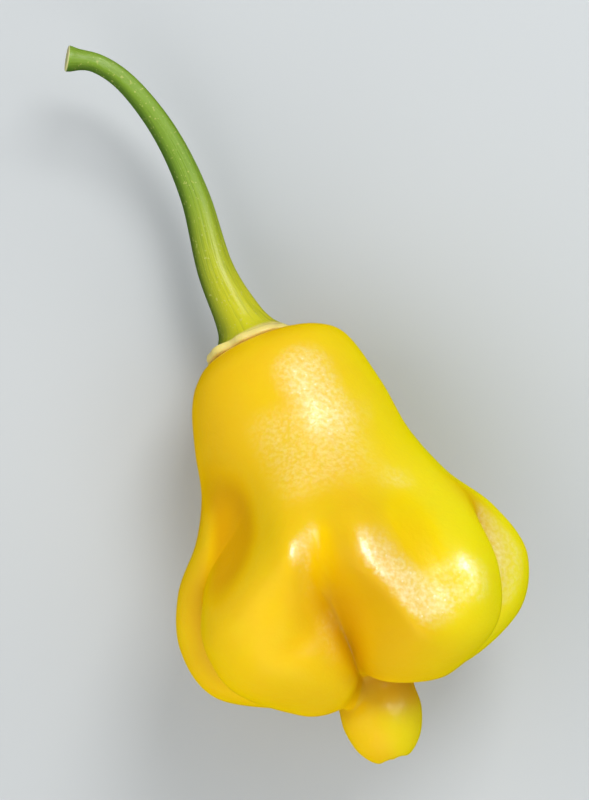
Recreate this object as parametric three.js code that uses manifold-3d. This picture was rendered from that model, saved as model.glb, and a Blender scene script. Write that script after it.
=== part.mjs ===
// A bishop's crown pepper, picked with its stem and lying on its back. Millimetres, +Z up.
//
// Two solids: the fruit, one lobed body with a knob at its tip, and the stem, a curved stalk that flares into
// the calyx. +X is right and +Y is up for somebody who looks straight down on the pepper. The origin is on
// the ground, below the middle of the whole.

import Module from 'manifold-3d';
import * as THREE from 'three';
import { mergeVertices } from 'three/addons/utils/BufferGeometryUtils.js';

const wasm = await Module();
wasm.setup();

const { clamp, degToRad, lerp, smoothstep } = THREE.MathUtils;

// How the pepper lies
const SEAT = new THREE.Vector3(-7.1, 8.9, 12.5); // middle of the calyx, where fruit and stem meet
const LEAN = degToRad(18.2); // of the fruit's axis on the ground, its tip to the right
const LIFT = degToRad(12); // of the tip end, which the bulging lobes hold up

// The fruit's own frame has its origin at the calyx: x is right, y is the side that faces up, z runs down the
// axis to the tip. Angles about the axis are counted in degrees from the side that faces up, to the right.

// Outline along the bottom of a full-depth crease, as [distance from the axis, distance below the calyx]
const CREASE_OUTLINE = [
  [0, 0.6], [8, 0.7], // under the calyx
  [12.2, 2.8], [14.4, 6.6], [15.9, 13.5], // shoulder
  [17.5, 22], [20.2, 30], [21.6, 37], // waist
  [15.5, 44], [11, 50.5], [8.5, 55], // crown
  [6.8, 58], [6.1, 60.8], // hollow above the knob
  [6.1, 65], [4.9, 68.6], [2.2, 70.9], [0, 70.6], // knob
];

// Outline over the middle of a full lobe, station by station beside the one above
const LOBE_OUTLINE = [
  [0, 0.6], [8, 0.7],
  [12.2, 2.8], [14.5, 6.6], [16.1, 13.5],
  [17.8, 22], [21.4, 30.5], [27, 38],
  [30.4, 47], [26.8, 55.6], [15.5, 60.4],
  [8, 58.8], [6.3, 60.8],
  [6.5, 65], [5.3, 69], [2.6, 71.6], [0, 70.6],
];

// Stations between which the outlines change their character
const CREASE_TURN = [5.4, 8.2]; // they swing from their waist angle to their crown angle
const LOBE_SWELL = [6.5, 9]; // soft folds become full lobes
const GATHER = [8, 10]; // the lobes draw together over their creases
const UNDERSIDE = [9, 11, 11, 13]; // the lobes' undersides begin, meet the knob and end
const CROWN = [4.5, 7, 10, 11.5]; // the crown begins, is full, fades and ends
const CREASE_FADE = [11, 12.4]; // the creases get shallower again, on the knob
const SEAT_SLOPE_FADE = [2, 4.5]; // the slope of the seat runs out on the shoulder

// Creases round the fruit: angle at the waist, angle at the crown, depth from 0 to 1, and the stations
// between which it opens to that depth
const CREASES = [
  { waist: -112, crown: -118, depth: 0.95, opens: [5.5, 7.6] }, // back left, between two chambers
  { waist: -30, crown: -77, depth: 0.5, opens: [4.2, 7.6] }, // left, within a chamber
  { waist: -6, crown: -9, depth: 0.95, opens: [6.6, 9.4] }, // front, between two chambers
  { waist: 66, crown: 73, depth: 0.55, opens: [5.5, 7.6] }, // right, within a chamber
  { waist: 116, crown: 118, depth: 0.95, opens: [5.5, 7.6] }, // back right, between two chambers
  { waist: 180, crown: 180, depth: 1, opens: [3, 5] }, // back, within a chamber
];

// Lobes, each beginning at the crease of the same place: reach from 0 to 1, how far it hangs lower in mm, the
// power that rounds it, where a smaller one is fuller, how much lower its underside lies beside the knob in
// mm, and the skew, which above 1 makes its left flank broad and its right flank steep
const LOBES = [
  { reach: 0.9, drop: -1.6, power: 0.8, fill: 0, skew: 1 }, // left wing
  { reach: 0.92, drop: 0.2, power: 0.7, fill: 3.4, skew: 1 }, // front left
  { reach: 0.9, drop: 3.2, power: 0.8, fill: -0.6, skew: 1.5 }, // front right
  { reach: 0.93, drop: 0, power: 0.8, fill: 0, skew: 1 }, // right wing
  { reach: 0.48, drop: 0, power: 0.9, fill: 0, skew: 1 }, // back right, pressed flatter
  { reach: 0.48, drop: 0, power: 0.9, fill: 0, skew: 1 }, // back left, pressed flatter
];
const SOFT_POWER = 2; // of the soft folds above the crown
const FULL_POWER = 0.45; // of the lobes where they draw together
const LOBE_OVERLAP = degToRad(3); // by which the full lobes close in over their creases
const CREASE_LOSS = 0.75; // share of a crease's depth that it loses on the knob
const SEAT_SLOPE = 0.08; // by which the seat of the calyx rises to the right

// How far the fruit's middle strays from its axis, as [station, to the right, to the side that faces up]
const SWAY = [
  [0, 0.3, 0], [2, 1.7, 0], [4, 2.3, 0.3], [8, 2.6, 2.4], [11, 1.6, 1.6], [16, 1, 0.3],
];

// Folds of the side that faces up: soft ridges, and valleys where the height is negative, both straight up
// from the ground. Each is a line as seen from above, of [right of the axis, down along it, height, width],
// and the height falls to a third within the width.
const FOLDS = [
  [ // middle ridge
    [5.5, 8, 0, 6], [4, 16, 0.5, 5], [-2, 24, 1.4, 3.5], [-4.5, 31, 2, 3], [-5.5, 39, 0, 4],
  ],
  [ // valley above the front crease
    [2.5, 26, 0, 3], [1.4, 32, -2.2, 3.5], [0, 37, -2.6, 3.5], [-0.5, 43, 0, 3],
  ],
  [ // crest at the right of the front crease
    [8.5, 22, 0, 4], [7.4, 31, 0.9, 3.8], [6, 37.5, 1.4, 4], [9, 45, 1.6, 4.4], [11.3, 51, 1.4, 4.4],
    [13, 56, 0, 4],
  ],
  [ // hollow beside that crest
    [14, 25, 0, 4.5], [14.8, 32, -2.4, 5], [16.2, 37, -2.6, 5], [16.2, 43, 0, 4],
  ],
  [ // crest further right
    [15, 20, 0, 4], [19.4, 32, 0.6, 4], [22.5, 41, 1.2, 3], [22, 47, 1.4, 3], [18, 51, 0, 3],
  ],
  [ // dent across the front left lobe
    [-13, 44, 0, 2.5], [-8, 46, -1.6, 3], [-4, 45, -1.8, 3], [-1, 43, 0, 2.5],
  ],
  [ // hollow at the left of the waist
    [-14.5, 12, 0, 5], [-13, 18, -1.8, 5], [-10.8, 24, -4.2, 4], [-12.8, 30, -4.4, 3.4],
    [-17, 35, -2.6, 3], [-21, 38.5, 0, 2.6],
  ],
];
const FOLD_FACE = [0, 6]; // distances towards the side that faces up between which the folds set in
const FOLD_BLEND = 2; // distance over which neighbouring places of a fold's line blend
const FOLD_STEPS = 60;

// Route of the stem, from the calyx to where it was picked, as steps from the seat
const STEM_START = 3; // straight up from the calyx, along the fruit's axis
const STEM_ROUTE = [
  [-5.9, 12.3, -2.2], [-9.4, 24.8, -2.6], [-14, 34.8, -1.5], [-19.8, 42.5, 0.6], [-25, 46.2, 2.2],
  [-30.2, 47, 3.2],
];

// Outline of the stem, as [distance along the route, radius]
const STEM_OUTLINE = [
  [0, 0], [0, 7.2], [0.9, 7.7], [1.7, 6.4], // calyx and its rim
  [3.2, 5], [6, 4], [13, 3.15], [26, 2.45], [43, 1.9], [54, 1.6], // stalk
  [57, 1.7], [58.8, 2.1], [59.4, 1.9], [59.4, 0], // swelling where it parts from the plant
];
const CALYX_UNDERSIDE = 0.25; // below the seat's middle, 0.35 mm clear of the fruit, which begins at 0.6

const GROUND_SCALE = 1.2; // size of the block of ground against the fruit's

// Mesh density
const COLUMNS_PER_LOBE = 13;
const FRUIT_ROWS = 60;
const STEM_COLUMNS = 14;
const STEM_ROWS = 52;
const CROWDING = 0.2; // of the columns towards the creases, from 0 for none to 1

// The fruit's frame in the whole
const RIGHT = new THREE.Vector3(Math.cos(LEAN), Math.sin(LEAN), 0);
const DOWN_AXIS = new THREE.Vector3(
  Math.cos(LIFT) * Math.sin(LEAN),
  -Math.cos(LIFT) * Math.cos(LEAN),
  Math.sin(LIFT),
);
const FACING_UP = DOWN_AXIS.clone().cross(RIGHT);
const FRUIT_FRAME = new THREE.Matrix4().makeBasis(RIGHT, FACING_UP, DOWN_AXIS).setPosition(SEAT);
const STRAIGHT_UP = new THREE.Vector3(0, Math.cos(LIFT), Math.sin(LIFT)); // the ground's, in that frame

// A smooth outline through [a, b] pairs, read at station numbers with fractions
function outline(pairs) {
  const curve = new THREE.SplineCurve(pairs.map(([a, b]) => new THREE.Vector2(a, b)));
  return (station) => curve.getPoint(station / (pairs.length - 1));
}

// Straight-line reading of a table of [station, value, ...] rows
function readTable(table, station, column) {
  const next = Math.max(1, table.findIndex(([at]) => at >= station));
  const [from, to] = [table[next - 1], table[next]];
  return lerp(from[column], to[column], clamp((station - from[0]) / (to[0] - from[0]), 0, 1));
}

// A closed skin over rings of points, pointAt(row, column), whose first and last rings are single points
function closedSkin(rows, columns, pointAt) {
  const positions = [...pointAt(0, 0)];
  const indices = [];
  for (let row = 1; row < rows; row++) {
    for (let column = 0; column < columns; column++) {
      positions.push(...pointAt(row, column));
    }
  }
  positions.push(...pointAt(rows, 0));
  const last = positions.length / 3 - 1;
  const vertex = (row, column) => 1 + (row - 1) * columns + (column % columns);
  for (let column = 0; column < columns; column++) {
    indices.push(0, vertex(1, column), vertex(1, column + 1));
    for (let row = 1; row < rows - 1; row++) {
      const [a, b] = [vertex(row, column), vertex(row, column + 1)];
      const [c, d] = [vertex(row + 1, column), vertex(row + 1, column + 1)];
      indices.push(a, c, b, b, c, d);
    }
    indices.push(vertex(rows - 1, column), last, vertex(rows - 1, column + 1));
  }
  const geometry = new THREE.BufferGeometry();
  geometry.setAttribute('position', new THREE.Float32BufferAttribute(positions, 3));
  geometry.setIndex(indices);
  return geometry;
}

// Rises from 0 to 1 over the first stretch of stations and falls back over the last one
function riseAndFall(station, [start, full, fades, end]) {
  return smoothstep(station, start, full) * (1 - smoothstep(station, fades, end));
}

// The fruit's surface: each point lies between the crease outline and the lobe outline, as far out as its
// lobe is full there, with fullness = valley + (reach - valley) * sin(pi * across) ^ power
const creaseAt = outline(CREASE_OUTLINE);
const lobeAt = outline(LOBE_OUTLINE);

function depthOf(crease, station) {
  const kept = 1 - CREASE_LOSS * smoothstep(station, ...CREASE_FADE);
  return crease.depth * smoothstep(station, ...crease.opens) * kept;
}

function fruitPoint(station, lobeNumber, part) {
  const lobe = LOBES[lobeNumber];
  const [left, right] = [CREASES[lobeNumber], CREASES[(lobeNumber + 1) % CREASES.length]];
  const wrap = right.waist < left.waist ? 360 : 0;
  const turned = smoothstep(station, ...CREASE_TURN);
  const crown = riseAndFall(station, CROWN);

  // Columns stand closer together at the creases, where the surface bends most
  const across = part - CROWDING * Math.sin(2 * Math.PI * part) / (2 * Math.PI);
  const from = lerp(left.waist, left.crown, turned);
  const to = lerp(right.waist + wrap, right.crown + wrap, turned);
  const angle = degToRad(lerp(from, to, across)) - LOBE_OVERLAP * crown * Math.sin(2 * Math.PI * across);

  const valley = 1 - lerp(depthOf(left, station), depthOf(right, station), across);
  const swollenPower = lerp(SOFT_POWER, lobe.power, smoothstep(station, ...LOBE_SWELL));
  const power = lerp(swollenPower, FULL_POWER, smoothstep(station, ...GATHER));
  const bump = Math.sin(Math.PI * across ** lobe.skew) ** power;
  const fullness = lerp(valley, lobe.reach, bump);

  const { x: distance, y: below } = creaseAt(station).lerp(lobeAt(station), fullness);
  const filled = lobe.fill * Math.sin(Math.PI * across) * riseAndFall(station, UNDERSIDE);
  const slope = SEAT_SLOPE * (1 - smoothstep(station, ...SEAT_SLOPE_FADE));
  const x = distance * Math.sin(angle) + readTable(SWAY, station, 1);
  const y = distance * Math.cos(angle) + readTable(SWAY, station, 2);
  return new THREE.Vector3(x, y, below + lobe.drop * bump * crown + filled - slope * x);
}

// The middle lines of the folds, as places with the height and width of the fold there
const foldLines = FOLDS.map((rows) => {
  const placeAt = outline(rows.map(([right, down]) => [right, down]));
  const sizeAt = outline(rows.map(([, , height, width]) => [height, width]));
  return Array.from({ length: FOLD_STEPS }, (_, step) => {
    const station = step / (FOLD_STEPS - 1) * (rows.length - 1);
    return { place: placeAt(station), size: sizeAt(station) };
  });
});

// Height of the folds over a point of the fruit: for each, height * exp(-(distance / width) ^ 2) from its
// line, with the height and width of the line's nearest places
function foldHeight(point) {
  const seen = new THREE.Vector2(point.x, point.z * Math.cos(LIFT) - point.y * Math.sin(LIFT));
  let total = 0;
  for (const line of foldLines) {
    const squares = line.map(({ place }) => place.distanceToSquared(seen));
    const nearest = Math.min(...squares);
    const size = new THREE.Vector2();
    let weight = 0;
    line.forEach((there, step) => {
      const closeness = Math.exp((nearest - squares[step]) / FOLD_BLEND ** 2);
      size.addScaledVector(there.size, closeness);
      weight += closeness;
    });
    size.divideScalar(weight);
    total += size.x * Math.exp(-nearest / size.y ** 2);
  }
  return total * smoothstep(point.y, ...FOLD_FACE);
}

// Takes away what would lie under the ground, which leaves the small flat spots that the fruit rests on
function cutAtGround(geometry) {
  geometry.computeBoundingBox();
  const bounds = geometry.boundingBox;
  const size = bounds.getSize(new THREE.Vector3()).multiplyScalar(GROUND_SCALE);
  const ground = new THREE.BoxGeometry(size.x, size.y, size.z);
  const middle = bounds.getCenter(new THREE.Vector3());
  ground.translate(middle.x, middle.y, -size.z / 2);
  return toGeometry(toSolid(geometry).subtract(toSolid(ground)));
}

function toSolid(geometry) {
  const bare = new THREE.BufferGeometry();
  bare.setAttribute('position', geometry.attributes.position);
  bare.setIndex(geometry.index);
  const merged = mergeVertices(bare);
  return new wasm.Manifold(new wasm.Mesh({
    numProp: 3,
    vertProperties: new Float32Array(merged.attributes.position.array),
    triVerts: new Uint32Array(merged.index.array),
  }));
}

function toGeometry(solid) {
  const { vertProperties, triVerts } = solid.getMesh();
  const geometry = new THREE.BufferGeometry();
  geometry.setAttribute('position', new THREE.BufferAttribute(vertProperties, 3));
  geometry.setIndex(new THREE.BufferAttribute(triVerts, 1));
  return geometry;
}

function makeFruit() {
  const lastStation = LOBE_OUTLINE.length - 1;
  const skin = closedSkin(FRUIT_ROWS, LOBES.length * COLUMNS_PER_LOBE, (row, column) => {
    const lobeNumber = Math.floor(column / COLUMNS_PER_LOBE);
    const part = (column % COLUMNS_PER_LOBE) / COLUMNS_PER_LOBE;
    const point = fruitPoint(row / FRUIT_ROWS * lastStation, lobeNumber, part);
    return point.addScaledVector(STRAIGHT_UP, foldHeight(point));
  });
  skin.applyMatrix4(FRUIT_FRAME);
  const material = new THREE.MeshStandardMaterial({ color: 0xf0c400, roughness: 0.3, metalness: 0 });
  return named('fruit', cutAtGround(skin), material);
}

// The stem: rings square to the route, with the calyx's underside on the fruit's seat
function makeStem() {
  const up = DOWN_AXIS.clone().addScaledVector(RIGHT, SEAT_SLOPE).normalize().negate();
  const start = SEAT.clone().addScaledVector(up, -CALYX_UNDERSIDE);
  const points = [start, start.clone().addScaledVector(up, STEM_START)];
  points.push(...STEM_ROUTE.map((step) => new THREE.Vector3(...step).add(SEAT)));
  const route = new THREE.CatmullRomCurve3(points, false, 'catmullrom');
  const length = route.getLength();
  const profile = outline(STEM_OUTLINE);
  const fullLength = STEM_OUTLINE[STEM_OUTLINE.length - 1][0];

  const skin = closedSkin(STEM_ROWS, STEM_COLUMNS, (row, column) => {
    const { x: along, y: radius } = profile(row / STEM_ROWS * (STEM_OUTLINE.length - 1));
    const fraction = clamp(along / fullLength, 0, 1);
    const tangent = route.getTangentAt(fraction);
    const side = tangent.clone().cross(new THREE.Vector3(0, 0, 1)).normalize();
    const top = side.clone().cross(tangent);
    const turn = 2 * Math.PI * column / STEM_COLUMNS;
    return route.getPointAt(fraction)
      .addScaledVector(side, radius * Math.cos(turn))
      .addScaledVector(top, radius * Math.sin(turn));
  });
  const material = new THREE.MeshStandardMaterial({ color: 0x8fae30, roughness: 0.55, metalness: 0 });
  return named('stem_and_calyx', skin, material);
}

function named(name, geometry, material) {
  const mesh = new THREE.Mesh(geometry, material);
  mesh.name = name;
  return mesh;
}

const pepper = new THREE.Group();
pepper.add(makeFruit(), makeStem());

export default pepper;
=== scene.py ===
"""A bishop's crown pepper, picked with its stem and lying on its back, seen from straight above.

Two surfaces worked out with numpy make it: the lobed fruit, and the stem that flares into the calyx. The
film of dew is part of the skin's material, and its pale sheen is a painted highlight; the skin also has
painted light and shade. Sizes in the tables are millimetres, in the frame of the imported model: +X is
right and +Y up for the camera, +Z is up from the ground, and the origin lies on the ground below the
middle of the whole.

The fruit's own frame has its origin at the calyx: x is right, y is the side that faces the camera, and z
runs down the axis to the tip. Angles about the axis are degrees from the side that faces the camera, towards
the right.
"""

import logging
import math
from dataclasses import dataclass
from enum import Enum

import bpy
import numpy as np
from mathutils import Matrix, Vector


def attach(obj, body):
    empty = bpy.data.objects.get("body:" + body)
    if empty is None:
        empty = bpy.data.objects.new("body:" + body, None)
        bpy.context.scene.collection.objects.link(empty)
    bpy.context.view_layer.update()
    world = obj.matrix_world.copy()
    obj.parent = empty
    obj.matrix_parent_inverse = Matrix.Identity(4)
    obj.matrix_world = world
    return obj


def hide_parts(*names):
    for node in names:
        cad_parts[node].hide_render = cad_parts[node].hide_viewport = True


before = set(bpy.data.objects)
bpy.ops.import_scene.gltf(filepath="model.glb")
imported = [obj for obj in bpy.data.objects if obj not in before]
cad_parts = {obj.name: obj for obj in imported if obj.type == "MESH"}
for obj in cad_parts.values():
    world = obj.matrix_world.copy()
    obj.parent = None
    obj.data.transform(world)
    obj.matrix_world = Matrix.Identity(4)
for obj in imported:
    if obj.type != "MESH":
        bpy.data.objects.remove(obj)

MM = 0.001
BODY = "root"
LOG = logging.getLogger("pepper")
Array = np.ndarray


class Node(Enum):
    """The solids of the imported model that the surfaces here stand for."""

    FRUIT = "fruit"
    STEM = "stem_and_calyx"


class Slot(Enum):
    """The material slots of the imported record."""

    SKIN = "skin"
    STALK = "stalk"


# Shared geometry


def smoothstep(low: float, high: float, value: Array) -> Array:
    """Eased step: 0 below low, 1 above high, and 3t^2 - 2t^3 between them.

    Args:
        low: value where the step begins.
        high: value where the step ends.
        value: values to step.

    Returns:
        The steps, of the same shape as value.
    """
    t = np.clip((value - low) / (high - low), 0, 1)
    return t * t * (3 - 2 * t)


def band(edges: tuple[float, float, float, float], value: Array) -> Array:
    """Eased plateau: it rises between the first two edges, stays at 1, and falls between the last two.

    Args:
        edges: the four edges, in rising order.
        value: values to look up.

    Returns:
        Shares from 0 to 1, of the same shape as value.
    """
    start, full, fades, end = edges
    return smoothstep(start, full, value) * (1 - smoothstep(fades, end, value))


def catmull_rom(control: Array, stations: Array, reflect_ends: bool = False) -> Array:
    """Curve through control points: a cubic between neighbours.

    At each point its slope is half the step between the neighbours on either side.

    Args:
        control: points, one a row.
        stations: places along the curve, where whole numbers are the control points.
        reflect_ends: whether the neighbour beyond each end mirrors the inner one, and isn't the end itself.

    Returns:
        The curve's points, one a row.
    """
    before = 2 * control[0] - control[1] if reflect_ends else control[0]
    after = 2 * control[-1] - control[-2] if reflect_ends else control[-1]
    padded = np.vstack([before, control, after])
    first = np.clip(np.floor(stations).astype(int), 0, len(control) - 2)
    t = (stations - first)[:, None]
    p0, p1, p2, p3 = (padded[first + k] for k in range(4))
    slope1, slope2 = (p2 - p0) / 2, (p3 - p1) / 2
    cubic = 2 * p1 - 2 * p2 + slope1 + slope2
    square = 3 * p2 - 3 * p1 - 2 * slope1 - slope2
    return ((cubic * t + square) * t + slope1) * t + p1


def unit(vectors: Array) -> Array:
    """Vectors scaled to length 1, along the last axis."""
    return vectors / np.maximum(np.linalg.norm(vectors, axis=-1, keepdims=True), 1e-12)


def ring_normals(rings: Array) -> Array:
    """Outward normals of a closed skin: the step to the next ring crossed with the step to the next column.

    Args:
        rings: points, as (rows, columns, 3), where the columns close on themselves.

    Returns:
        The unit normals, of the same shape.
    """
    along = np.gradient(rings, axis=0)
    around = np.roll(rings, -1, axis=1) - np.roll(rings, 1, axis=1)
    normals = np.cross(along, around)
    normals[0] = normals[1].mean(axis=0)
    normals[-1] = normals[-2].mean(axis=0)
    return unit(normals)


def closed_skin(name: str, rings: Array, attributes: dict[str, Array]) -> bpy.types.Object:
    """Mesh over rings of points, whose first and last rings are single points.

    Args:
        name: name of the object and its mesh.
        rings: points in millimetres, as (rows, columns, 3), where the columns close on themselves.
        attributes: values for the points, as (rows, columns) numbers or (rows, columns, 3) vectors.

    Returns:
        The object, at the origin, with smooth faces that point outwards.
    """
    rows, columns = rings.shape[:2]
    inner = np.arange((rows - 2) * columns).reshape(rows - 2, columns) + 1
    last = (rows - 2) * columns + 1
    right = np.roll(inner, -1, axis=1)
    quads = np.stack([inner[:-1], inner[1:], right[1:], right[:-1]], axis=-1).reshape(-1, 4)
    first_fan = np.stack([np.zeros(columns, int), inner[0], right[0]], axis=-1)
    last_fan = np.stack([inner[-1], np.full(columns, last), right[-1]], axis=-1)

    def flat(values: Array) -> Array:
        """Values of the two end points and of every ring between them, as the vertices are numbered."""
        depth = values.shape[2:]
        return np.concatenate([values[0, :1], values[1:-1].reshape(-1, *depth), values[-1, :1]])

    mesh = bpy.data.meshes.new(name)
    faces = first_fan.tolist() + quads.tolist() + last_fan.tolist()
    mesh.from_pydata((flat(rings) * MM).tolist(), [], faces)
    for key, values in attributes.items():
        kind, field_name = ("FLOAT_VECTOR", "vector") if values.ndim == 3 else ("FLOAT", "value")
        attribute = mesh.attributes.new(key, kind, "POINT")
        attribute.data.foreach_set(field_name, flat(values).astype(np.float32).ravel())
    mesh.shade_smooth()
    piece = bpy.data.objects.new(name, mesh)
    bpy.context.scene.collection.objects.link(piece)
    return piece


# Materials


class Shader:
    """A material under construction: one Principled shader, and helpers that add and link nodes."""

    def __init__(self, name: str) -> None:
        """Starts a material with its Principled shader.

        Args:
            name: name of the material.
        """
        self.material = bpy.data.materials.new(name)
        self.material.use_nodes = True
        self.tree = self.material.node_tree
        self.principled = self.tree.nodes["Principled BSDF"]

    def add(self, kind: str, inputs: dict[str | int, object], **settings: object) -> bpy.types.Node:
        """Adds a node, sets it up, and links or sets its inputs.

        Args:
            kind: the node's type, such as ShaderNodeMix.
            inputs: by socket name or number, another node's output or a plain value.
            **settings: properties of the node itself.

        Returns:
            The node.
        """
        node = self.tree.nodes.new(kind)
        for key, value in settings.items():
            setattr(node, key, value)
        for key, value in inputs.items():
            self.feed(node, key, value)
        return node

    def feed(self, node: bpy.types.Node, key: str | int, value: object) -> None:
        """Links an output to a node's input, or sets the input's own value.

        Args:
            node: node that receives.
            key: name or number of its input.
            value: an output socket or a plain value.
        """
        if isinstance(value, bpy.types.NodeSocket):
            self.tree.links.new(value, node.inputs[key])
        else:
            node.inputs[key].default_value = value

    def share(self, name: str) -> bpy.types.NodeSocket:
        """Reads a mesh attribute that holds one number for each point."""
        return self.add("ShaderNodeAttribute", {}, attribute_name=name).outputs["Fac"]

    def vector(self, name: str) -> bpy.types.NodeSocket:
        """Reads a mesh attribute that holds a vector for each point."""
        return self.add("ShaderNodeAttribute", {}, attribute_name=name).outputs["Vector"]

    def place(self) -> bpy.types.NodeSocket:
        """Object coordinates, in metres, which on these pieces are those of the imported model."""
        return self.add("ShaderNodeTexCoord", {}).outputs["Object"]

    def noise(self, place: bpy.types.NodeSocket, size_mm: float, detail: float) -> bpy.types.NodeSocket:
        """Smooth noise from 0 to 1.

        Args:
            place: where it is read, in metres.
            size_mm: about the size of its blotches.
            detail: how many finer layers it has.

        Returns:
            The noise.
        """
        inputs = {"Vector": place, "Scale": 1 / (size_mm * MM), "Detail": detail, "Roughness": 0.5}
        return self.add("ShaderNodeTexNoise", inputs).outputs["Fac"]

    def scale(
        self, value: bpy.types.NodeSocket, low: float, high: float, to_low: float, to_high: float
    ) -> bpy.types.NodeSocket:
        """Straight-line change of range, held at its ends.

        Args:
            value: number to change.
            low: value that becomes to_low.
            high: value that becomes to_high.
            to_low: new value at low.
            to_high: new value at high.

        Returns:
            The changed number.
        """
        inputs = {"Value": value, "From Min": low, "From Max": high, "To Min": to_low, "To Max": to_high}
        return self.add("ShaderNodeMapRange", inputs).outputs["Result"]

    def math(self, operation: str, a: object, b: object = 0.0) -> bpy.types.NodeSocket:
        """Result of a math node for one or two numbers."""
        return self.add("ShaderNodeMath", {0: a, 1: b}, operation=operation).outputs["Value"]

    def times(self, a: bpy.types.NodeSocket, b: object) -> bpy.types.NodeSocket:
        """Product of two numbers."""
        return self.math("MULTIPLY", a, b)

    def more(self, a: bpy.types.NodeSocket, b: object) -> bpy.types.NodeSocket:
        """The larger of two numbers."""
        return self.math("MAXIMUM", a, b)

    def drops(
        self, place: bpy.types.NodeSocket, spacing_mm: float, radius_mm: float
    ) -> bpy.types.NodeSocket:
        """Small domes where the surface cuts spheres scattered in space: 1 - (distance / radius)^2.

        Args:
            place: where it is read, in metres.
            spacing_mm: size of the cells that hold one sphere each.
            radius_mm: radius of the spheres.

        Returns:
            Height of the domes, from 0 to 1.
        """
        inputs = {"Vector": place, "Scale": 1 / (spacing_mm * MM), "Randomness": 1.0}
        distance = self.add("ShaderNodeTexVoronoi", inputs, feature="F1").outputs["Distance"]
        share = self.times(distance, spacing_mm / radius_mm)
        return self.more(self.math("SUBTRACT", 1.0, self.times(share, share)), 0.0)

    def mix(self, share: object, a: object, b: object) -> bpy.types.NodeSocket:
        """Mix of two colours.

        Args:
            share: how much of b, from 0 to 1.
            a: first colour.
            b: second colour.

        Returns:
            The mixed colour.
        """
        node = self.add("ShaderNodeMix", {"Factor": share}, data_type="RGBA")
        self.feed(node, 6, a)
        self.feed(node, 7, b)
        return node.outputs[2]

    def bump(
        self, height: bpy.types.NodeSocket, depth_mm: float, below: bpy.types.NodeSocket | None = None
    ) -> bpy.types.NodeSocket:
        """Relief that only turns the surface's normal.

        Args:
            height: height from 0 to 1.
            depth_mm: millimetres between heights 0 and 1.
            below: relief that this one lies on.

        Returns:
            The normal.
        """
        inputs: dict[str | int, object] = {"Height": height, "Strength": 1.0, "Distance": depth_mm * MM}
        if below is not None:
            inputs["Normal"] = below
        return self.add("ShaderNodeBump", inputs).outputs["Normal"]

    def finish(self, values: dict[str, object]) -> bpy.types.Material:
        """Sets or links the Principled shader's sockets.

        Args:
            values: by socket name, an output or a plain value.

        Returns:
            The finished material.
        """
        for key, value in values.items():
            self.feed(self.principled, key, value)
        return self.material


Colour = tuple[float, float, float, float]


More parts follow.
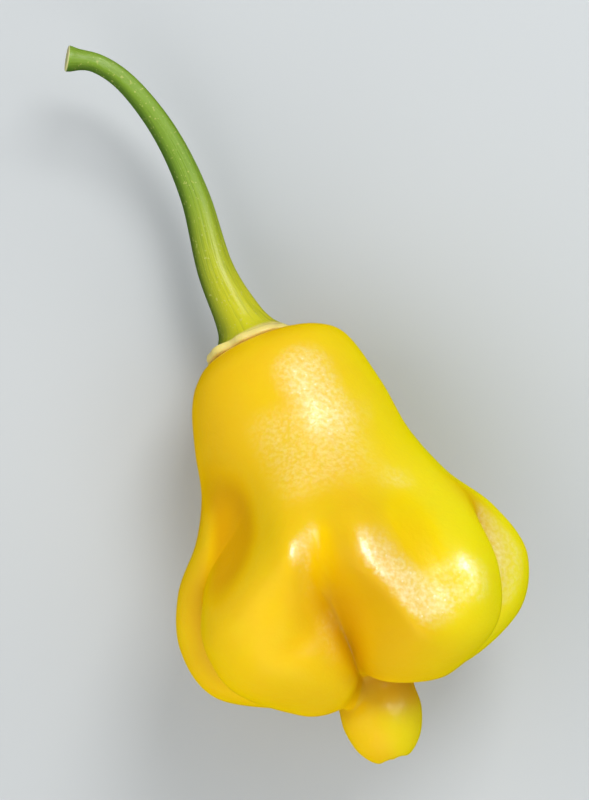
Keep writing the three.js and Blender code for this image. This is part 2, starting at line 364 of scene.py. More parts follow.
@dataclass(frozen=True)
class PepperSkin:
    """Glossy waxy skin with a film of dew.

    It is golden yellow and orange below the calyx, with painted light and shade: paler lemon on the right side
    and knob, deeper golden at the left of the neck, amber in creases and hollows, and a pale sheen on the dew.

    Attributes:
        lit_lemon_most: largest share of the painted lemon light.
        bounce_glow_most: largest share of the painted orange bounce light at the bottom of a crease.
        mist_sheen_share: how pale the painted sheen of the dew makes the skin between its drops.
        drop_sheen_share: how pale the painted sheen makes the drops.
        film_coat: clear coat between the drops.
        drop_coat: clear coat on the drops.
        sheltered_gloss: share of the gloss that is left in hollows, which see little of the sky.
    """

    golden: Colour = (0.84, 0.57, 0.0, 1)
    deep_golden_and_shade: Colour = (0.83, 0.51, 0.0, 1)
    lit_lemon: Colour = (0.82, 0.76, 0.0, 1)
    orange: Colour = (0.80, 0.34, 0.0, 1)
    shade_amber: Colour = (0.65, 0.34, 0.0, 1)
    painted_bounce_glow: Colour = (0.92, 0.52, 0.0, 1)
    painted_dew_sheen: Colour = (0.94, 0.93, 0.62, 1)
    scar: Colour = (0.20, 0.10, 0.02, 1)
    mottle_mm: float = 9.0
    wave_mm: float = 5.0
    wave_height_mm: float = 0.12
    speck_mm: float = 0.7
    speck_height_mm: float = 0.035
    drop_spacing_mm: float = 1.15
    drop_radius_mm: float = 0.3
    drop_height_mm: float = 0.06
    lit_lemon_most: float = 0.85
    bounce_glow_most: float = 0.25
    mist_sheen_share: float = 0.45
    drop_sheen_share: float = 0.5
    film_coat: float = 0.25
    drop_coat: float = 0.7
    sheltered_gloss: float = 0.15

    def painted(self, shader: Shader, mottle: bpy.types.NodeSocket) -> bpy.types.NodeSocket:
        """Colour of the dry skin, from the fruit's attributes and a slow mottle.

        Args:
            shader: material under construction.
            mottle: slow noise from 0 to 1.

        Returns:
            The colour.
        """
        # Painted shade: the left side of the neck is deeper golden; the slow mottle adds random deeper tone of
        # the skin's own.
        deep_tone_and_left_shade = shader.more(shader.scale(mottle, 0.4, 0.65, 0, 0.6), shader.share("deep_tone_and_left_shade"))
        near_calyx = shader.times(shader.share("calyx"), shader.scale(mottle, 0.3, 0.7, 0.5, 1))
        colour = shader.mix(deep_tone_and_left_shade, self.golden, self.deep_golden_and_shade)
        # Painted light: the right side and the knob's right half are paler lemon, as if lit through the skin.
        colour = shader.mix(shader.times(shader.share("lit_lemon"), self.lit_lemon_most), colour, self.lit_lemon)
        # Painted shade: creases, deep hollows and the knob's neck are amber.
        colour = shader.mix(shader.share("crease"), colour, self.shade_amber)
        # Painted light: a brighter orange along the bottoms of creases, in place of light bounced into them.
        colour = shader.mix(shader.times(shader.share("bottom"), self.bounce_glow_most), colour, self.painted_bounce_glow)
        colour = shader.mix(near_calyx, colour, self.orange)
        return shader.mix(shader.share("scar"), colour, self.scar)

    def material(self) -> bpy.types.Material:
        """Builds the material: painted skin with painted light and shade, fine relief, and dew that is domed
        and wetter and carries a painted pale sheen.

        Returns:
            The material.
        """
        shader = Shader("pepper_skin")
        place = shader.place()
        mottle = shader.noise(place, self.mottle_mm, 3)
        specks = shader.noise(place, self.speck_mm, 1)
        waves = shader.noise(place, self.wave_mm, 2)
        dew_and_sheen = shader.share("dew_and_sheen")
        dry = shader.math("SUBTRACT", 1.0, dew_and_sheen)
        domes = shader.drops(place, self.drop_spacing_mm, self.drop_radius_mm)
        dew = shader.more(shader.math("SUBTRACT", domes, dry), 0.0)

        # Painted highlight: the dew film is paler where the key light glints, and the drops paler still.
        painted_mist = shader.times(dew_and_sheen, shader.scale(specks, 0.35, 0.7, 0.1, self.mist_sheen_share))
        colour = shader.mix(painted_mist, self.painted(shader, mottle), self.painted_dew_sheen)
        colour = shader.mix(shader.scale(dew, 0.3, 1.0, 0, self.drop_sheen_share), colour, self.painted_dew_sheen)
        relief = shader.bump(specks, self.speck_height_mm, shader.bump(waves, self.wave_height_mm))
        film = shader.bump(dew, self.drop_height_mm, relief)

        grazing = shader.add("ShaderNodeLayerWeight", {"Blend": 0.5}).outputs["Facing"]
        exposed = shader.scale(shader.share("sheltered"), 0, 1, 1, self.sheltered_gloss)
        coat = shader.more(shader.scale(dew, 0.02, 0.2, 0, self.drop_coat), self.film_coat)
        wet = shader.times(coat, exposed)
        return shader.finish(
            {
                "Base Color": colour,
                "Normal": relief,
                "Roughness": shader.scale(mottle, 0.3, 0.7, 0.29, 0.35),
                "Specular IOR Level": shader.times(shader.scale(grazing, 0.2, 0.75, 1.0, 0.05), exposed),
                "Subsurface Weight": 0.35,
                "Subsurface Radius": (1.0, 0.6, 0.05),
                "Subsurface Scale": 0.004,
                "IOR": 1.5,
                "Coat Weight": shader.times(wet, shader.scale(grazing, 0.15, 0.6, 1, 0.05)),
                "Coat Roughness": 0.15,
                "Coat Normal": film,
            }
        )


@dataclass(frozen=True)
class GreenStalk:
    """Satin green stalk with a lengthwise grain, yellower towards the fruit, and a pale rim on the calyx."""

    upper_green: Colour = (0.20, 0.34, 0.02, 1)
    lower_green: Colour = (0.58, 0.56, 0.006, 1)
    shaded_green: Colour = (0.045, 0.12, 0.012, 1)
    grain_green: Colour = (0.10, 0.19, 0.012, 1)
    speck: Colour = (0.55, 0.55, 0.16, 1)
    rim: Colour = (0.78, 0.66, 0.20, 1)
    cut: Colour = (0.62, 0.60, 0.28, 1)
    speck_mm: float = 0.5
    speck_height_mm: float = 0.03
    grain_height_mm: float = 0.15
    shade_most: float = 0.85

    def material(self) -> bpy.types.Material:
        """Builds the material from the stem's attributes and a grain that runs along it.

        Returns:
            The material.
        """
        shader = Shader("green_stalk")
        place = shader.place()
        grain_inputs = {"Vector": shader.vector("grain"), "Scale": 7.0, "Detail": 3.0, "Roughness": 0.6}
        grain = shader.add("ShaderNodeTexNoise", grain_inputs).outputs["Fac"]
        specks = shader.noise(place, self.speck_mm, 1)

        colour = shader.mix(shader.share("ripe"), self.upper_green, self.lower_green)
        shaded = shader.scale(shader.share("sunny"), 0, 1, self.shade_most, 0)
        colour = shader.mix(shaded, colour, self.shaded_green)
        colour = shader.mix(shader.scale(grain, 0.3, 0.5, 0.5, 0), colour, self.grain_green)
        colour = shader.mix(shader.scale(specks, 0.66, 0.74, 0, 0.5), colour, self.speck)
        colour = shader.mix(shader.share("rim"), colour, self.rim)
        colour = shader.mix(shader.share("cut"), colour, self.cut)

        relief = shader.bump(specks, self.speck_height_mm, shader.bump(grain, self.grain_height_mm))
        return shader.finish(
            {
                "Base Color": colour,
                "Normal": relief,
                "Roughness": 0.42,
                "Subsurface Weight": 0.15,
                "Subsurface Radius": (0.5, 0.8, 0.1),
                "Subsurface Scale": 0.002,
                "Coat Weight": 0.15,
                "Coat Roughness": 0.25,
            }
        )


@dataclass(frozen=True)
class PaleGround:
    """Matt pale ground."""

    colour: Colour = (0.50, 0.53, 0.55, 1)

    def material(self) -> bpy.types.Material:
        """Builds the material.

        Returns:
            The material.
        """
        return Shader("pale_ground").finish({"Base Color": self.colour, "Roughness": 0.8})


# How the pepper lies


@dataclass(frozen=True)
class Lie:
    """Where the fruit's own frame is on the ground."""

    seat: tuple[float, float, float] = (-7.1, 8.9, 12.5)
    lean: float = math.radians(18.2)
    lift: float = math.radians(12)

    @property
    def right(self) -> Array:
        """Direction of the fruit's x."""
        return np.array([math.cos(self.lean), math.sin(self.lean), 0])

    @property
    def down_axis(self) -> Array:
        """Direction from the calyx to the tip."""
        flat = math.cos(self.lift)
        return np.array([flat * math.sin(self.lean), -flat * math.cos(self.lean), math.sin(self.lift)])

    @property
    def facing_up(self) -> Array:
        """Direction of the side that faces the camera."""
        return np.cross(self.down_axis, self.right)

    def place(self, points: Array) -> Array:
        """Takes points from the fruit's own frame to the model's.

        Args:
            points: points or grids of points, in millimetres.

        Returns:
            The same points in the model's frame, in millimetres.
        """
        return np.array(self.seat) + points @ np.stack([self.right, self.facing_up, self.down_axis])


# The fruit


@dataclass(frozen=True)
class Crease:
    """A crease from shoulder to tip.

    Attributes:
        waist: its angle at the waist.
        crown: its angle at the crown.
        depth: from 0, no crease, to 1, the crease outline.
        opens: stations between which it opens to that depth.
        fades: stations between which it gets shallower again, on the knob.
        fade: share of its depth that it loses there.
    """

    waist: float
    crown: float
    depth: float
    opens: tuple[float, float]
    fades: tuple[float, float] = (11, 12.4)
    fade: float = 0.75

    def depth_at(self, station: Array) -> Array:
        """Depth at each station, which fades towards the knob."""
        left = 1 - self.fade * smoothstep(*self.fades, station)
        return self.depth * smoothstep(*self.opens, station) * left


@dataclass(frozen=True)
class Lobe:
    """A swelling between two creases.

    Attributes:
        reach: from 0, no further out than the crease outline, to 1, the lobe outline.
        drop: how much lower its middle hangs, in millimetres.
        power: power of its rounding, 1 for an arch, and less for a flatter top with steeper sides.
        fill: how much lower its underside lies beside the knob, in millimetres.
        skew: above 1, its left flank is broad and its right flank steep, and below 1 the other way round.
        shade_amber: power by which the painted amber shade of its left crease fades on its flank, less for a
            broader patch.
    """

    reach: float
    drop: float
    power: float
    fill: float = 0
    skew: float = 1
    shade_amber: float = 1.1


@dataclass(frozen=True)
class Fold:
    """A soft ridge on the side that faces the camera, or a valley where its height is negative.

    Attributes:
        line: its middle line as (right of the axis, down along the axis, height, width), where the first two
            are as the camera sees them, and the height falls to about a third at the width's distance.
        steps: how many places of the line are looked at.
        blend: distance over which neighbouring places blend.
    """

    line: tuple[tuple[float, float, float, float], ...]
    steps: int = 60
    blend: float = 2.0

    def heights(self, seen: Array) -> Array:
        """Height * exp(-(distance / width)^2), with the height and width of the line's nearest places.

        Args:
            seen: points as (right of the axis, down along the axis).

        Returns:
            Heights, in millimetres.
        """
        places = catmull_rom(np.array(self.line, float), np.linspace(0, len(self.line) - 1, self.steps))
        squared = ((seen[:, None, :] - places[None, :, :2]) ** 2).sum(axis=-1)
        closeness = np.exp((squared.min(axis=1, keepdims=True) - squared) / self.blend**2)
        height, width = (closeness @ places[:, 2:] / closeness.sum(axis=1, keepdims=True)).T
        return height * np.exp(-squared.min(axis=1) / width**2)


@dataclass
class Fruit:
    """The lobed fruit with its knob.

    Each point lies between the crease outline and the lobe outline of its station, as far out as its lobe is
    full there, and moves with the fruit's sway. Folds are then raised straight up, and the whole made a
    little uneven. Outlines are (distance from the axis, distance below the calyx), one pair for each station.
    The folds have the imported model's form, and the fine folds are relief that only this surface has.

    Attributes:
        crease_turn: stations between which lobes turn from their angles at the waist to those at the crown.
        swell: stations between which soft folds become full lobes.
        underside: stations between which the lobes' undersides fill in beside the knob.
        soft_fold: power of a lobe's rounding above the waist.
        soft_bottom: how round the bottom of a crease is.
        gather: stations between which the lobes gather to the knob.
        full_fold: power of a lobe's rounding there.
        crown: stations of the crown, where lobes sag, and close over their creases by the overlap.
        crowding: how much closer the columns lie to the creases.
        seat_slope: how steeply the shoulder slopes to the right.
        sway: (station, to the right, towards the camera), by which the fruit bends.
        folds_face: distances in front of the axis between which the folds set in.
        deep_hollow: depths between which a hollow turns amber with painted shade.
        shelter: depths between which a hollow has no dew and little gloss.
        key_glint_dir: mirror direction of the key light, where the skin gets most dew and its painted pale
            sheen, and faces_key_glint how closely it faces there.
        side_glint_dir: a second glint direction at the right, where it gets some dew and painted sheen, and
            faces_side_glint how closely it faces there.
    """

    lie: Lie
    columns_per_lobe: int = 48
    rows: int = 240
    crease_outline: tuple[tuple[float, float], ...] = (
        (0, 0.6), (8, 0.7),
        (12.2, 2.8), (14.4, 6.6), (15.9, 13.5),
        (17.5, 22), (20.2, 30), (21.6, 37),
        (15.5, 44), (11, 50.5), (8.5, 55),
        (6.8, 58), (6.1, 60.8),
        (6.1, 65), (4.9, 68.6), (2.2, 70.9), (0, 70.6),
    )  # fmt: skip
    lobe_outline: tuple[tuple[float, float], ...] = (
        (0, 0.6), (8, 0.7),
        (12.2, 2.8), (14.5, 6.6), (16.1, 13.5),
        (17.8, 22), (21.4, 30.5), (27.0, 38),
        (30.4, 47), (26.8, 55.6), (15.5, 60.4),
        (8, 58.8), (6.3, 60.8),
        (6.5, 65), (5.3, 69), (2.6, 71.6), (0, 70.6),
    )  # fmt: skip
    creases: tuple[Crease, ...] = (
        Crease(-112, -118, 0.95, (5.5, 7.6)),
        Crease(-30, -77, 0.5, (4.2, 7.6)),
        Crease(-6, -9, 0.95, (6.6, 9.4)),
        Crease(66, 73, 0.55, (5.5, 7.6)),
        Crease(116, 118, 0.95, (5.5, 7.6)),
        Crease(180, 180, 1, (3, 5)),
    )
    lobes: tuple[Lobe, ...] = (
        Lobe(0.9, -1.6, 0.8),
        Lobe(0.92, 0.2, 0.7, 3.4),
        Lobe(0.9, 3.2, 0.8, -0.6, 1.5, 0.6),
        Lobe(0.93, 0, 0.8),
        Lobe(0.48, 0, 0.9),
        Lobe(0.48, 0, 0.9),
    )
    crease_turn: tuple[float, float] = (5.4, 8.2)
    swell: tuple[float, float] = (6.5, 9)
    underside: tuple[float, float, float, float] = (9, 11, 11, 13)
    soft_fold: float = 2.0
    soft_bottom: float = 0.05
    gather: tuple[float, float] = (8, 10)
    full_fold: float = 0.45
    crown: tuple[float, float, float, float] = (4.5, 7, 10, 11.5)
    overlap: float = math.radians(3)
    crowding: float = 0.2
    seat_slope: float = 0.08
    seat_slope_fades: tuple[float, float] = (2, 4.5)
    sway: tuple[tuple[float, float, float], ...] = (
        (0, 0.3, 0), (2, 1.7, 0), (4, 2.3, 0.3), (8, 2.6, 2.4), (11, 1.6, 1.6), (16, 1.0, 0.3),
    )  # fmt: skip
    folds: tuple[Fold, ...] = (
        Fold(((5.5, 8, 0, 6), (4, 16, 0.5, 5), (-2, 24, 1.4, 3.5), (-4.5, 31, 2, 3), (-5.5, 39, 0, 4))),
        Fold(((2.5, 26, 0, 3), (1.4, 32, -2.2, 3.5), (0, 37, -2.6, 3.5), (-0.5, 43, 0, 3))),
        Fold(((8.5, 22, 0, 4), (7.4, 31, 0.9, 3.8), (6, 37.5, 1.4, 4), (9, 45, 1.6, 4.4),
              (11.3, 51, 1.4, 4.4), (13, 56, 0, 4))),
        Fold(((14, 25, 0, 4.5), (14.8, 32, -2.4, 5), (16.2, 37, -2.6, 5), (16.2, 43, 0, 4))),
        Fold(((15, 20, 0, 4), (19.4, 32, 0.6, 4), (22.5, 41, 1.2, 3), (22, 47, 1.4, 3), (18, 51, 0, 3))),
        Fold(((-13, 44, 0, 2.5), (-8, 46, -1.6, 3), (-4, 45, -1.8, 3), (-1, 43, 0, 2.5))),
        Fold(((-14.5, 12, 0, 5), (-13, 18, -1.8, 5), (-10.8, 24, -4.2, 4), (-12.8, 30, -4.4, 3.4),
              (-17, 35, -2.6, 3), (-21, 38.5, 0, 2.6))),
    )  # fmt: skip
    fine_folds: tuple[Fold, ...] = (
        Fold(((5, 34, 0, 2), (7.5, 40, 0.6, 2), (9.8, 46, 0.9, 2), (11.6, 51, 0.6, 2.2), (13, 55, 0, 2))),
        Fold(((14, 36, 0, 3), (15, 41, -1.1, 3.6), (15.5, 45, -1.0, 3.2), (15.5, 48.5, 0, 2.6))),
        Fold(((-13, 44, 0, 2.5), (-8, 46, 0.5, 3), (-4, 45, 0.7, 3), (-1, 43, 0, 2.5))),
        Fold(((-1.6, 24, 0, 2.4), (-2.6, 29, 0.4, 2.4), (-3.8, 33.5, 0.4, 2.6), (-4.5, 38, 0, 2.4))),
    )  # fmt: skip
    folds_face: tuple[float, float] = (0, 6)
    narrow_shade_amber: float = 1.1
    deep_hollow: tuple[float, float] = (0.5, 3.4)
    shelter: tuple[float, float] = (0.6, 1.8)
    key_glint_dir: tuple[float, float, float] = (0.25, 0.30, 0.92)
    faces_key_glint: tuple[float, float] = (0.885, 0.985)
    side_glint_dir: tuple[float, float, float] = (0.50, 0.20, 0.84)
    faces_side_glint: tuple[float, float] = (0.86, 0.97)
    unevenness: float = 0.16
    unevenness_mm: float = 15.0
    waves: int = 9
    seed: int = 7

    def stations(self) -> Array:
        """Stations of the rows, from the middle under the calyx to the middle of the tip."""
        return np.linspace(0, len(self.lobe_outline) - 1, self.rows + 1)

    def surface(self) -> dict[str, Array]:
        """Works out the smooth form before the folds.

        Across each lobe t runs from 0 to 1. Its bump is sin(pi t)^power, with a rounded bottom, and a point's
        place between the two outlines is valley + (reach - valley) * bump, where the valley runs straight
        from crease to crease. Its angle does so too, and full lobes close in over their creases with
        sin(2 pi t).

        Returns:
            Arrays over rows and columns: points in the fruit's frame, below, which is the distance below the
            calyx, and crease and bottom, which are how far a point is in a crease and at its bottom.
        """
        station = self.stations()
        inner = catmull_rom(np.array(self.crease_outline, float), station)
        outer = catmull_rom(np.array(self.lobe_outline, float), station)
        crown = band(self.crown, station)[:, None]
        turned = smoothstep(*self.crease_turn, station)[:, None]
        swollen = smoothstep(*self.swell, station)[:, None]
        gathered = smoothstep(*self.gather, station)[:, None]
        underside = band(self.underside, station)[:, None]
        part = np.arange(self.columns_per_lobe) / self.columns_per_lobe
        across = (part - self.crowding * np.sin(2 * np.pi * part) / (2 * np.pi))[None, :]

        rounded = math.hypot(1, self.soft_bottom)
        grids: dict[str, list[Array]] = {"points": [], "below": [], "crease": [], "bottom": []}
        for number, lobe in enumerate(self.lobes):
            left, right = self.creases[number], self.creases[(number + 1) % len(self.creases)]
            wrap = 360 if right.waist < left.waist else 0
            from_angle = left.waist + (left.crown - left.waist) * turned
            to_angle = right.waist + wrap + (right.crown - right.waist) * turned
            angle = np.radians(from_angle + (to_angle - from_angle) * across)
            angle = angle - self.overlap * crown * np.sin(2 * np.pi * across)

            left_depth, right_depth = left.depth_at(station)[:, None], right.depth_at(station)[:, None]
            valley = 1 - left_depth - (right_depth - left_depth) * across
            power = self.soft_fold + (lobe.power - self.soft_fold) * swollen
            power = power + (self.full_fold - power) * gathered
            skewed = across**lobe.skew
            rise = np.hypot(np.sin(np.pi * skewed), self.soft_bottom) / rounded
            bump = rise**power
            fullness = valley + (lobe.reach - valley) * bump
            distance = inner[:, :1] + fullness * (outer - inner)[:, :1]
            below = inner[:, 1:] + fullness * (outer - inner)[:, 1:] + lobe.drop * bump * crown
            below = below + lobe.fill * np.sin(np.pi * across) * underside
            ring = [distance * np.sin(angle), distance * np.cos(angle), below]
            grids["points"].append(np.stack(ring, axis=-1))
            grids["below"].append(below)
            # Painted shade: the crease mask makes creases amber, fading up their flanks.
            depth = np.clip(1.6 * (1 - valley), 0, 1) * crown
            shade_amber = (1 - bump) ** np.where(skewed < 0.5, lobe.shade_amber, self.narrow_shade_amber)
            grids["crease"].append(np.clip(1.2 * shade_amber - 0.2, 0, 1) * depth)
            # Painted light: this mask brightens the bottoms of creases.
            grids["bottom"].append(np.exp(-((across * (1 - across) / 0.03) ** 2)) * depth)
        form = {key: np.concatenate(parts, axis=1) for key, parts in grids.items()}

        points = form["points"]
        table = np.array(self.sway, float)
        points[..., 0] += np.interp(station, table[:, 0], table[:, 1])[:, None]
        points[..., 1] += np.interp(station, table[:, 0], table[:, 2])[:, None]
        tilted = 1 - smoothstep(*self.seat_slope_fades, station)[:, None]
        points[..., 2] -= self.seat_slope * tilted * points[..., 0]
        return form

    def raised(self, form: dict[str, Array]) -> Array:
        """Heights of the folds, straight up from the ground.

        Args:
            form: arrays from surface().

        Returns:
            Heights over rows and columns, in millimetres.
        """
        points = form["points"]
        down = points[..., 2] * math.cos(self.lie.lift) - points[..., 1] * math.sin(self.lie.lift)
        seen = np.stack([points[..., 0], down], axis=-1).reshape(-1, 2)
        height = sum(fold.heights(seen) for fold in self.folds + self.fine_folds).reshape(down.shape)
        return height * smoothstep(*self.folds_face, points[..., 1])

    def uneven(self, points: Array) -> Array:
        """Slow unevenness along the normals: a sum of plane waves through space, whose draw is seeded.

        Args:
            points: the surface, over rows and columns.

        Returns:
            Heights over rows and columns, in millimetres, which fade out under the calyx.
        """
        draw = np.random.default_rng(self.seed)
        directions = unit(draw.normal(size=(self.waves, 3))) * 2 * np.pi / self.unevenness_mm
        phases = draw.uniform(0, 2 * np.pi, self.waves)
        height = np.sin(points @ directions.T + phases).mean(axis=-1) * math.sqrt(self.waves)
        return self.unevenness * height * smoothstep(1.2, 3, self.stations())[:, None]

    def dew(self, form: dict[str, Array], normals: Array) -> Array:
        """Where dew and its painted pale sheen go: most where the skin faces the key light's mirror direction,
        and some on the waist and beside it.

        Args:
            form: arrays from surface(), and sheltered.
            normals: unit normals of the folded skin, in the model's frame.

        Returns:
            Shares from 0 to 1 over rows and columns.
        """
        right, below = form["points"][..., 0], form["below"]
        # Painted highlight: the dew and its pale sheen follow the key light's mirror direction.
        above = smoothstep(*self.faces_key_glint, normals @ np.array(self.key_glint_dir)) * smoothstep(2, 7, below)
        beside = smoothstep(*self.faces_side_glint, normals @ np.array(self.side_glint_dir)) * smoothstep(14, 22, below)
        waist = band((-6, 0, 9, 16), right) * band((13, 18, 26, 33), below)
        waist = waist * smoothstep(0.5, 0.8, normals[..., 2])
        left_lobe = smoothstep(0, 5, -right) * smoothstep(36, 42, below)
        dry = np.maximum(left_lobe, form["sheltered"])
        dew_and_sheen = np.maximum(above, 0.5 * np.maximum(beside, waist))
        return dew_and_sheen * (1 - dry) * (1 - smoothstep(54, 58, below))

    def colouring(self, form: dict[str, Array], normals: Array) -> dict[str, Array]:
        """Where the skin changes its colour.

        Args:
            form: arrays from surface(), hollow, which is painted amber shade, and sheltered.
            normals: unit normals of the folded skin, in the model's frame.

        Returns:
            Shares from 0 to 1 over rows and columns, by the names of the attributes that the skin reads.
        """
        points, below = form["points"], form["below"]
        right, facing = points[..., 0], points[..., 1]
        station = self.stations()[:, None]
        # Painted light: paler lemon on the right side and on the knob's right half.
        lit_side_lemon = smoothstep(6, 26, right) * smoothstep(-12, 4, facing + 8)
        lit_knob_lemon = smoothstep(12.4, 13.5, station) * smoothstep(-1, 4, right)
        near_calyx = np.exp(-((np.hypot(right - 0.6, facing) / 10.3) ** 6)) * (below < 20)
        # Painted shadow: amber round the knob's neck, under the lobes.
        from_neck = np.hypot(np.hypot(right - 1.5, facing - 1.6) - 7, below - 59)
        knob_shadow = np.exp(-((from_neck / 3.6) ** 2))
        return {
            # Painted highlight: the pale sheen of the dew, which also places the drops.
            "dew_and_sheen": self.dew(form, normals),
            # Painted shade: deeper golden at the left of the neck, away from the light.
            "deep_tone_and_left_shade": smoothstep(-4, 12, -right) * (1 - smoothstep(24, 36, below)),
            "bottom": form["bottom"],
            "calyx": near_calyx,
            "lit_lemon": np.maximum(lit_side_lemon, 0.7 * lit_knob_lemon),
            # Painted shade: amber in creases, deep hollows and round the knob's neck.
            "crease": np.maximum(np.maximum(form["crease"], form["hollow"]), 0.8 * knob_shadow),
            "scar": smoothstep(15.55, 15.9, station) * np.ones_like(below),
            "sheltered": form["sheltered"],
        }

    def build(self) -> bpy.types.Object:
        """Makes the fruit's mesh, dresses it, and lets it stand for its solid.

        Returns:
            The fruit.
        """
        form = self.surface()
        height = self.raised(form)
        # Painted shade: deep hollows turn amber, more on the shaded left.
        leftward = 0.35 + 0.65 * smoothstep(0, 8, -form["points"][..., 0])
        form["hollow"] = smoothstep(*self.deep_hollow, -height) * leftward
        form["sheltered"] = smoothstep(*self.shelter, -height)
        rings = self.lie.place(form["points"])
        rings[..., 2] += height
        rings += ring_normals(rings) * self.uneven(form["points"])[..., None]
        rings[..., 2] = np.maximum(rings[..., 2], 0)
        rings[0] = rings[0].mean(axis=0)
        rings[-1] = rings[-1].mean(axis=0)
        fruit = closed_skin("pepper_fruit", rings, self.colouring(form, ring_normals(rings)))
        fruit.data.materials.append(PepperSkin().material())
        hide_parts(Node.FRUIT.value)
        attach(fruit, BODY)
        return fruit


# The stem


@dataclass
class Stem:
    """The stalk and the calyx: rings square to a curved route, whose radius follows an outline.

    The radius also ripples round the stem: five faint ribs on the stalk, and a scalloped rim on the calyx.
    The outline is (distance along, radius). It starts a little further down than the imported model's, so that
    the rim is pressed to the skin all round.
    """

    lie: Lie
    seat_slope: float
    columns: int = 72
    rows: int = 320
    underside: float = 0.62
    start_mm: float = 3.37
    route: tuple[tuple[float, float, float], ...] = (
        (-5.9, 12.3, -2.2), (-9.4, 24.8, -2.6), (-14, 34.8, -1.5), (-19.8, 42.5, 0.6), (-25, 46.2, 2.2),
        (-30.2, 47, 3.2),
    )  # fmt: skip
    outline: tuple[tuple[float, float], ...] = (
        (0, 0), (0, 7.2), (0.9, 7.7), (1.7, 6.4),
        (3.2, 5), (6, 4), (13, 3.15), (26, 2.45), (43, 1.9), (54, 1.6),
        (57, 1.7), (58.8, 2.1), (59.4, 1.9), (59.4, 0),
    )  # fmt: skip
    rib_share: float = 0.035
    grain_along: float = 0.012
    scallop_mm: float = 0.4
    notch_turn: float = math.radians(118)
    notch_mm: float = 0.9
    route_steps: int = 600

    def upwards(self) -> Array:
        """Direction in which the stem leaves the sloping seat, in the model's frame."""
        return -unit(self.lie.down_axis + self.seat_slope * self.lie.right)

    def path(self) -> tuple[Array, Array, Array]:
        """Smooth route from the calyx to where the stem was picked.

        Returns:
            Points, unit tangents, and distances along, in millimetres.
        """
        seat = np.array(self.lie.seat)
        start = seat - self.underside * self.upwards()
        leaving = start + self.start_mm * self.upwards()
        control = np.array([start, leaving] + [seat + np.array(step) for step in self.route])
        stations = np.linspace(0, len(control) - 1, self.route_steps + 1)
        points = catmull_rom(control, stations, reflect_ends=True)
        distance = np.concatenate([[0], np.cumsum(np.linalg.norm(np.diff(points, axis=0), axis=1))])
        tangents = unit(np.gradient(points, axis=0))
        tangents[0] = self.upwards()
        return points, tangents, distance

    def build(self) -> bpy.types.Object:
        """Makes the stem's mesh, dresses it, and lets it stand for its solid.

        Returns:
            The stem.
        """
        points, tangents, distance = self.path()
        stations = np.linspace(0, len(self.outline) - 1, self.rows + 1)
        profile = catmull_rom(np.array(self.outline, float), stations)
        along = np.clip(profile[:, 0], 0, self.outline[-1][0])
        radius = np.maximum(profile[:, 1], 0)
        at = along / self.outline[-1][0] * distance[-1]
        centre = np.stack([np.interp(at, distance, points[:, k]) for k in range(3)], axis=-1)
        tangent = unit(np.stack([np.interp(at, distance, tangents[:, k]) for k in range(3)], axis=-1))
        side = unit(np.cross(tangent, [0, 0, 1]))
        top = np.cross(side, tangent)

        turn = np.linspace(0, 2 * np.pi, self.columns, endpoint=False)[None, :]
        column = along[:, None]
        on_stalk = band((3, 9, 54, 57), column)
        on_rim = (1 - smoothstep(1.2, 4, column)) * smoothstep(3, 7, radius[:, None])
        ribs = self.rib_share * radius[:, None] * np.cos(5 * turn + 0.06 * column) * on_stalk
        notch = np.exp(-(((turn - self.notch_turn) / 0.16) ** 2))
        waves = 0.5 * np.cos(5 * turn + 0.8) + 0.3 * np.cos(11 * turn) + 0.2 * np.cos(17 * turn + 2)
        scallops = (self.scallop_mm * waves - self.notch_mm * notch) * on_rim
        reach = (radius[:, None] + ribs + scallops)[..., None]
        across = np.cos(turn)[..., None] * side[:, None, :] + np.sin(turn)[..., None] * top[:, None, :]
        rings = centre[:, None, :] + reach * across

        everywhere = np.ones_like(reach[..., 0])
        stretched = self.grain_along * column
        grain = np.stack([part * everywhere for part in (np.cos(turn), np.sin(turn), stretched)], axis=-1)
        attributes = {
            "grain": grain,
            "ripe": (1 - smoothstep(1, 34, column)) * everywhere,
            "rim": 1 - smoothstep(0, 0.8, column - 1.1 - 0.7 * np.cos(turn - 0.9)),
            "sunny": smoothstep(-0.7, 0.6, np.cos(turn - 0.5)) * everywhere,
            "cut": smoothstep(59.1, 59.3, column) * everywhere,
        }
        stem = closed_skin("pepper_stem", rings, attributes)
        stem.data.materials.append(GreenStalk().material())
        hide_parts(Node.STEM.value)
        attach(stem, BODY)
        return stem


# The studio


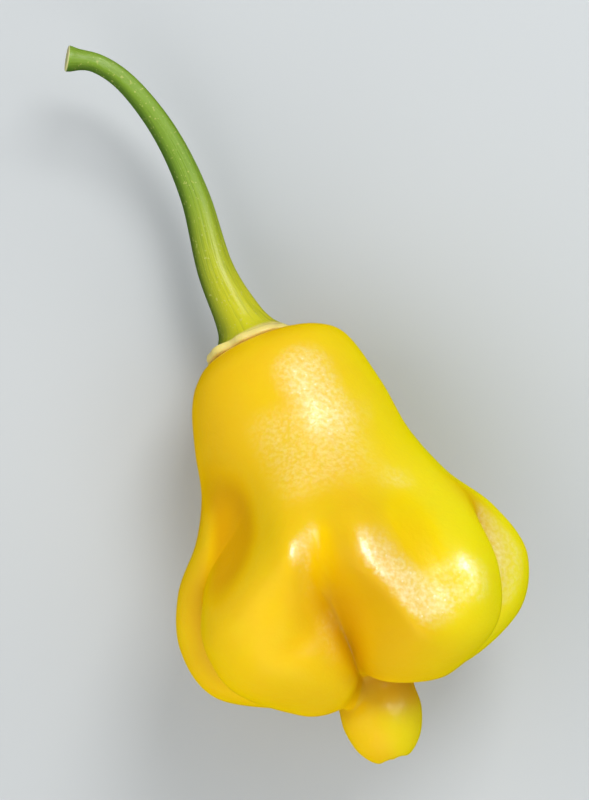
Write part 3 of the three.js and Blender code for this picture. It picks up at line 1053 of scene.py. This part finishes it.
@dataclass
class Studio:
    """Ground, light and camera.

    Attributes:
        frame_mm: height of the picture, in millimetres at the pepper's middle.
        middle_mm: height of the pepper's middle above the ground.
        lens_mm: focal length on a sensor that is 36 mm high.
    """

    frame_mm: float = 129.0
    middle_mm: float = 22.0
    lens_mm: float = 120.0
    sensor_mm: float = 36.0
    warm: Colour = (1.0, 0.98, 0.95, 1)
    cool: Colour = (0.97, 0.98, 1.0, 1)

    def ground(self) -> None:
        """Lays a plain pale ground that reaches past the picture."""
        half = 1.5
        corners = [(-half, -half, 0), (half, -half, 0), (half, half, 0), (-half, half, 0)]
        mesh = bpy.data.meshes.new("ground")
        mesh.from_pydata(corners, [], [(0, 1, 2, 3)])
        mesh.materials.append(PaleGround().material())
        ground = bpy.data.objects.new("ground", mesh)
        ground.visible_glossy = False
        bpy.context.scene.collection.objects.link(ground)

    def camera(self) -> None:
        """Hangs the camera straight above the origin, with the picture's top towards +Y."""
        data = bpy.data.cameras.new("camera")
        data.lens = self.lens_mm
        data.sensor_fit = "VERTICAL"
        data.sensor_height = self.sensor_mm
        camera = bpy.data.objects.new("camera", data)
        distance = self.frame_mm * self.lens_mm / self.sensor_mm
        camera.location = (0, 0, (self.middle_mm + distance) * MM)
        bpy.context.scene.collection.objects.link(camera)
        bpy.context.scene.camera = camera

    def softbox(
        self, name: str, place: tuple[float, float, float], size: float, watts: float, tint: Colour
    ) -> bpy.types.Object:
        """Adds a square light that faces the pepper's middle.

        Args:
            name: name of the light.
            place: where it hangs, in metres.
            size: length of its side, in metres.
            watts: its power.
            tint: its colour.

        Returns:
            The light.
        """
        data = bpy.data.lights.new(name, "AREA")
        data.size = size
        data.energy = watts
        data.color = tint[:3]
        light = bpy.data.objects.new(name, data)
        light.location = place
        aim = Vector((0, 0, self.middle_mm * MM)) - Vector(place)
        light.rotation_euler = aim.to_track_quat("-Z", "Y").to_euler()
        bpy.context.scene.collection.objects.link(light)
        return light

    def light(self) -> None:
        """Hangs a key and a broad light at the upper right and two fills that the gloss doesn't show."""
        self.softbox("key", (0.14, 0.30, 0.38), 0.22, 1.38, self.warm)
        self.softbox("sky", (0.30, 0.20, 0.32), 0.42, 0.6, self.cool)
        fills = (
            self.softbox("left_fill", (-0.36, -0.05, 0.34), 0.5, 1.2, self.warm),
            self.softbox("near_fill", (0.02, -0.42, 0.30), 0.5, 1.45, self.warm),
        )
        for fill in fills:
            fill.visible_glossy = False
        world = bpy.data.worlds.new("surround")
        world.use_nodes = True
        background = world.node_tree.nodes["Background"]
        background.inputs["Color"].default_value = (0.93, 0.96, 1.0, 1)
        background.inputs["Strength"].default_value = 0.33
        world.cycles_visibility.glossy = False
        bpy.context.scene.world = world
        bpy.context.scene.view_settings.view_transform = "Standard"

    def build(self) -> None:
        """Sets up the whole studio."""
        self.camera()
        self.ground()
        self.light()


def corners(bounds: tuple[Vector, Vector]) -> list[list[float]]:
    """Lowest and highest corners as plain lists."""
    return [list(map(float, corner)) for corner in bounds]


def main() -> None:
    """Builds the pepper piece by piece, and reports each."""
    logging.basicConfig(level=logging.INFO, format="%(name)s: %(message)s")
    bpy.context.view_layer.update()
    Studio().build()
    lie = Lie()
    fruit = Fruit(lie)
    stem = Stem(lie, fruit.seat_slope)
    for piece in (fruit.build(), stem.build()):
        LOG.info("%s has %d faces", piece.name, len(piece.data.polygons))


if __name__ == "__main__":
    main()
